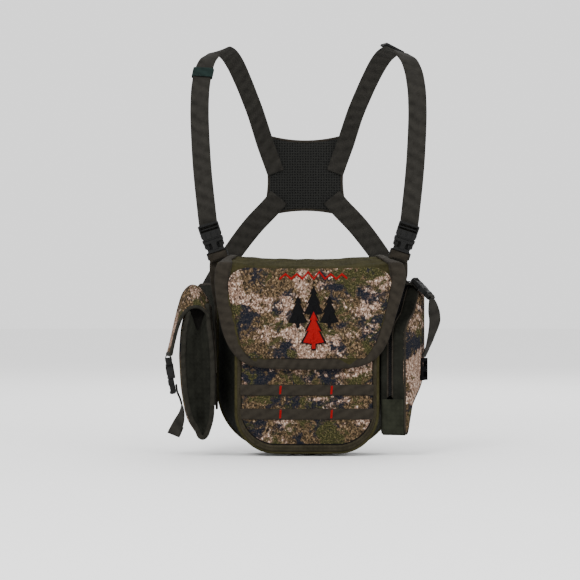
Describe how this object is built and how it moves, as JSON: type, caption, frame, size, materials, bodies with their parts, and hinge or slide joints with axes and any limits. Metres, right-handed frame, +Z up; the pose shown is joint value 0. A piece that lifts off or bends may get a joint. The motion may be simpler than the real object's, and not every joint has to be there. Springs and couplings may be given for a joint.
{
  "type": "binocular harness pack",
  "caption": "Chest pouch with a flap lid for binoculars, worn on a four-strap harness, with a pocket on each side.",
  "frame": {"origin": "middle of the chest pad's rear face, where the pack lies on the wearer's chest", "axes": "+X to the viewer's right with the pack seen from in front, +Y towards the wearer's chest, +Z up"},
  "size_m": [0.3224, 0.3082, 0.4919],
  "materials": {
    "camo_cloth": "printed brushed polyester, woodland camouflage",
    "olive_cloth": "olive woven nylon",
    "side_cloth": "dark olive woven nylon",
    "air_mesh": "black spacer mesh",
    "hook_loop": "hook and loop tape",
    "binding_webbing": "brown-grey woven tape",
    "strap_webbing": "charcoal twill webbing",
    "keeper_webbing": "dark teal tape",
    "buckle_plastic": "satin moulded acetal",
    "zip": "black coil zip tape"
  },
  "bodies": {
    "harness": {"front_panel": "camo_cloth", "front_piping": "olive_cloth", "back_piping": "olive_cloth", "main_gusset": "side_cloth", "back_panel": "side_cloth", "wing_left": "side_cloth", "wing_right": "side_cloth", "chest_pad": "air_mesh", "yoke_pad": "air_mesh", "front_loop_patch": "hook_loop", "molle_webbing_upper": "binding_webbing", "molle_webbing_lower": "binding_webbing", "strap_tab_left": "binding_webbing", "strap_tab_right": "binding_webbing", "shoulder_strap_left": "strap_webbing", "shoulder_strap_right": "strap_webbing", "side_strap_left": "strap_webbing", "side_strap_right": "strap_webbing", "strap_keeper": "keeper_webbing", "shoulder_buckle_socket_left": "buckle_plastic", "shoulder_buckle_plug_left": "buckle_plastic", "shoulder_buckle_socket_right": "buckle_plastic", "shoulder_buckle_plug_right": "buckle_plastic", "strap_slider": "buckle_plastic"},
    "main_lid": {"lid_shell": "olive_cloth", "lid_camo_panel": "camo_cloth", "lid_binding": "binding_webbing", "lid_hook_patch": "hook_loop"},
    "left_pouch": {"left_back_panel": "side_cloth", "left_front_panel": "camo_cloth", "left_gusset_front": "side_cloth", "left_gusset_rear": "side_cloth", "left_binding_front": "binding_webbing", "left_binding_rear": "binding_webbing", "left_mount_strap_front": "binding_webbing", "left_mount_strap_rear": "binding_webbing", "left_buckle_plug": "buckle_plastic", "left_closure_webbing": "strap_webbing"},
    "left_lid_flap": {"left_lid": "camo_cloth", "left_lid_loop": "binding_webbing", "left_buckle_socket": "buckle_plastic"},
    "right_pouch": {"right_rear_shell": "side_cloth", "right_zip_rear": "zip", "right_mount_strap_front": "binding_webbing", "right_mount_strap_rear": "binding_webbing"},
    "right_front": {"right_front_shell": "camo_cloth", "right_zip_front": "zip", "right_buckle_plug": "buckle_plastic", "right_strap_top": "strap_webbing", "right_buckle_socket": "buckle_plastic", "right_closure_webbing": "strap_webbing", "right_strap_anchor": "buckle_plastic"},
    "zip_slider": {"right_zip_slider": "zip"},
    "zip_pull": {"right_zip_pull": "zip"},
    "prong_outer_left": {"buckle_prong_outer_left": "buckle_plastic"},
    "prong_inner_left": {"buckle_prong_inner_left": "buckle_plastic"},
    "prong_outer_right": {"buckle_prong_outer_right": "buckle_plastic"},
    "prong_inner_right": {"buckle_prong_inner_right": "buckle_plastic"},
    "side_adjuster_left": {"side_slider_left": "buckle_plastic"},
    "side_adjuster_right": {"side_slider_right": "buckle_plastic"}
  },
  "joints": [
    {"name": "main_lid_hinge", "type": "hinge", "parent": "harness", "child": "main_lid", "pos_m": [0, -0.0035, 0.1135], "axis": [-1, 0, 0], "range_deg": [0, 100]},
    {"name": "left_pouch_swing", "type": "hinge", "parent": "harness", "child": "left_pouch", "pos_m": [-0.11, -0.004, 0], "axis": [0, 0, 1], "range_deg": [-15, 0]},
    {"name": "left_lid_hinge", "type": "hinge", "parent": "left_pouch", "child": "left_lid_flap", "pos_m": [-0.11583, -0.04229, 0.0605], "axis": [-0.0436, 0.999, 0], "range_deg": [0, 65]},
    {"name": "right_pouch_swing", "type": "hinge", "parent": "harness", "child": "right_pouch", "pos_m": [0.10942, -0.00615, 0], "axis": [0, 0, -1], "range_deg": [-18, 0]},
    {"name": "right_front_hinge", "type": "hinge", "parent": "right_pouch", "child": "right_front", "pos_m": [0.09951, -0.06578, -0.0923], "axis": [0.3746, 0.9272, 0], "range_deg": [0, 45]},
    {"name": "right_zip_slide", "type": "slide", "parent": "right_pouch", "child": "zip_slider", "axis": [0, 0, 1], "range_m": [0, 0.066]},
    {"name": "right_zip_pull_swing", "type": "hinge", "parent": "zip_slider", "child": "zip_pull", "pos_m": [0.12372, -0.00546, -0.0023], "axis": [0.9272, -0.3746, 0], "range_deg": [0, 85]},
    {"name": "buckle_prong_outer_left", "type": "hinge", "parent": "harness", "child": "prong_outer_left", "pos_m": [-0.11882, -0.006, 0.13525], "axis": [0, -1, 0], "range_deg": [0, 6], "stiffness_Nm_per_rad": 0.25},
    {"name": "buckle_prong_inner_left", "type": "hinge", "parent": "harness", "child": "prong_inner_left", "pos_m": [-0.10484, -0.006, 0.13979], "axis": [0, 1, 0], "range_deg": [0, 6], "stiffness_Nm_per_rad": 0.25},
    {"name": "buckle_prong_outer_right", "type": "hinge", "parent": "harness", "child": "prong_outer_right", "pos_m": [0.12382, -0.006, 0.13525], "axis": [0, 1, 0], "range_deg": [0, 6], "stiffness_Nm_per_rad": 0.25},
    {"name": "buckle_prong_inner_right", "type": "hinge", "parent": "harness", "child": "prong_inner_right", "pos_m": [0.10984, -0.006, 0.13979], "axis": [0, -1, 0], "range_deg": [0, 6], "stiffness_Nm_per_rad": 0.25},
    {"name": "side_strap_adjuster_left", "type": "slide", "parent": "harness", "child": "side_adjuster_left", "axis": [-0.3746, 0.9272, 0], "range_m": [-0.018, 0.012]},
    {"name": "side_strap_adjuster_right", "type": "slide", "parent": "harness", "child": "side_adjuster_right", "axis": [0.3746, 0.9272, 0], "range_m": [-0.018, 0.012]}
  ],
  "couplings": [
    {"joint": "buckle_prong_inner_left", "follows": "buckle_prong_outer_left", "ratio": 1},
    {"joint": "buckle_prong_inner_right", "follows": "buckle_prong_outer_right", "ratio": 1}
  ]
}
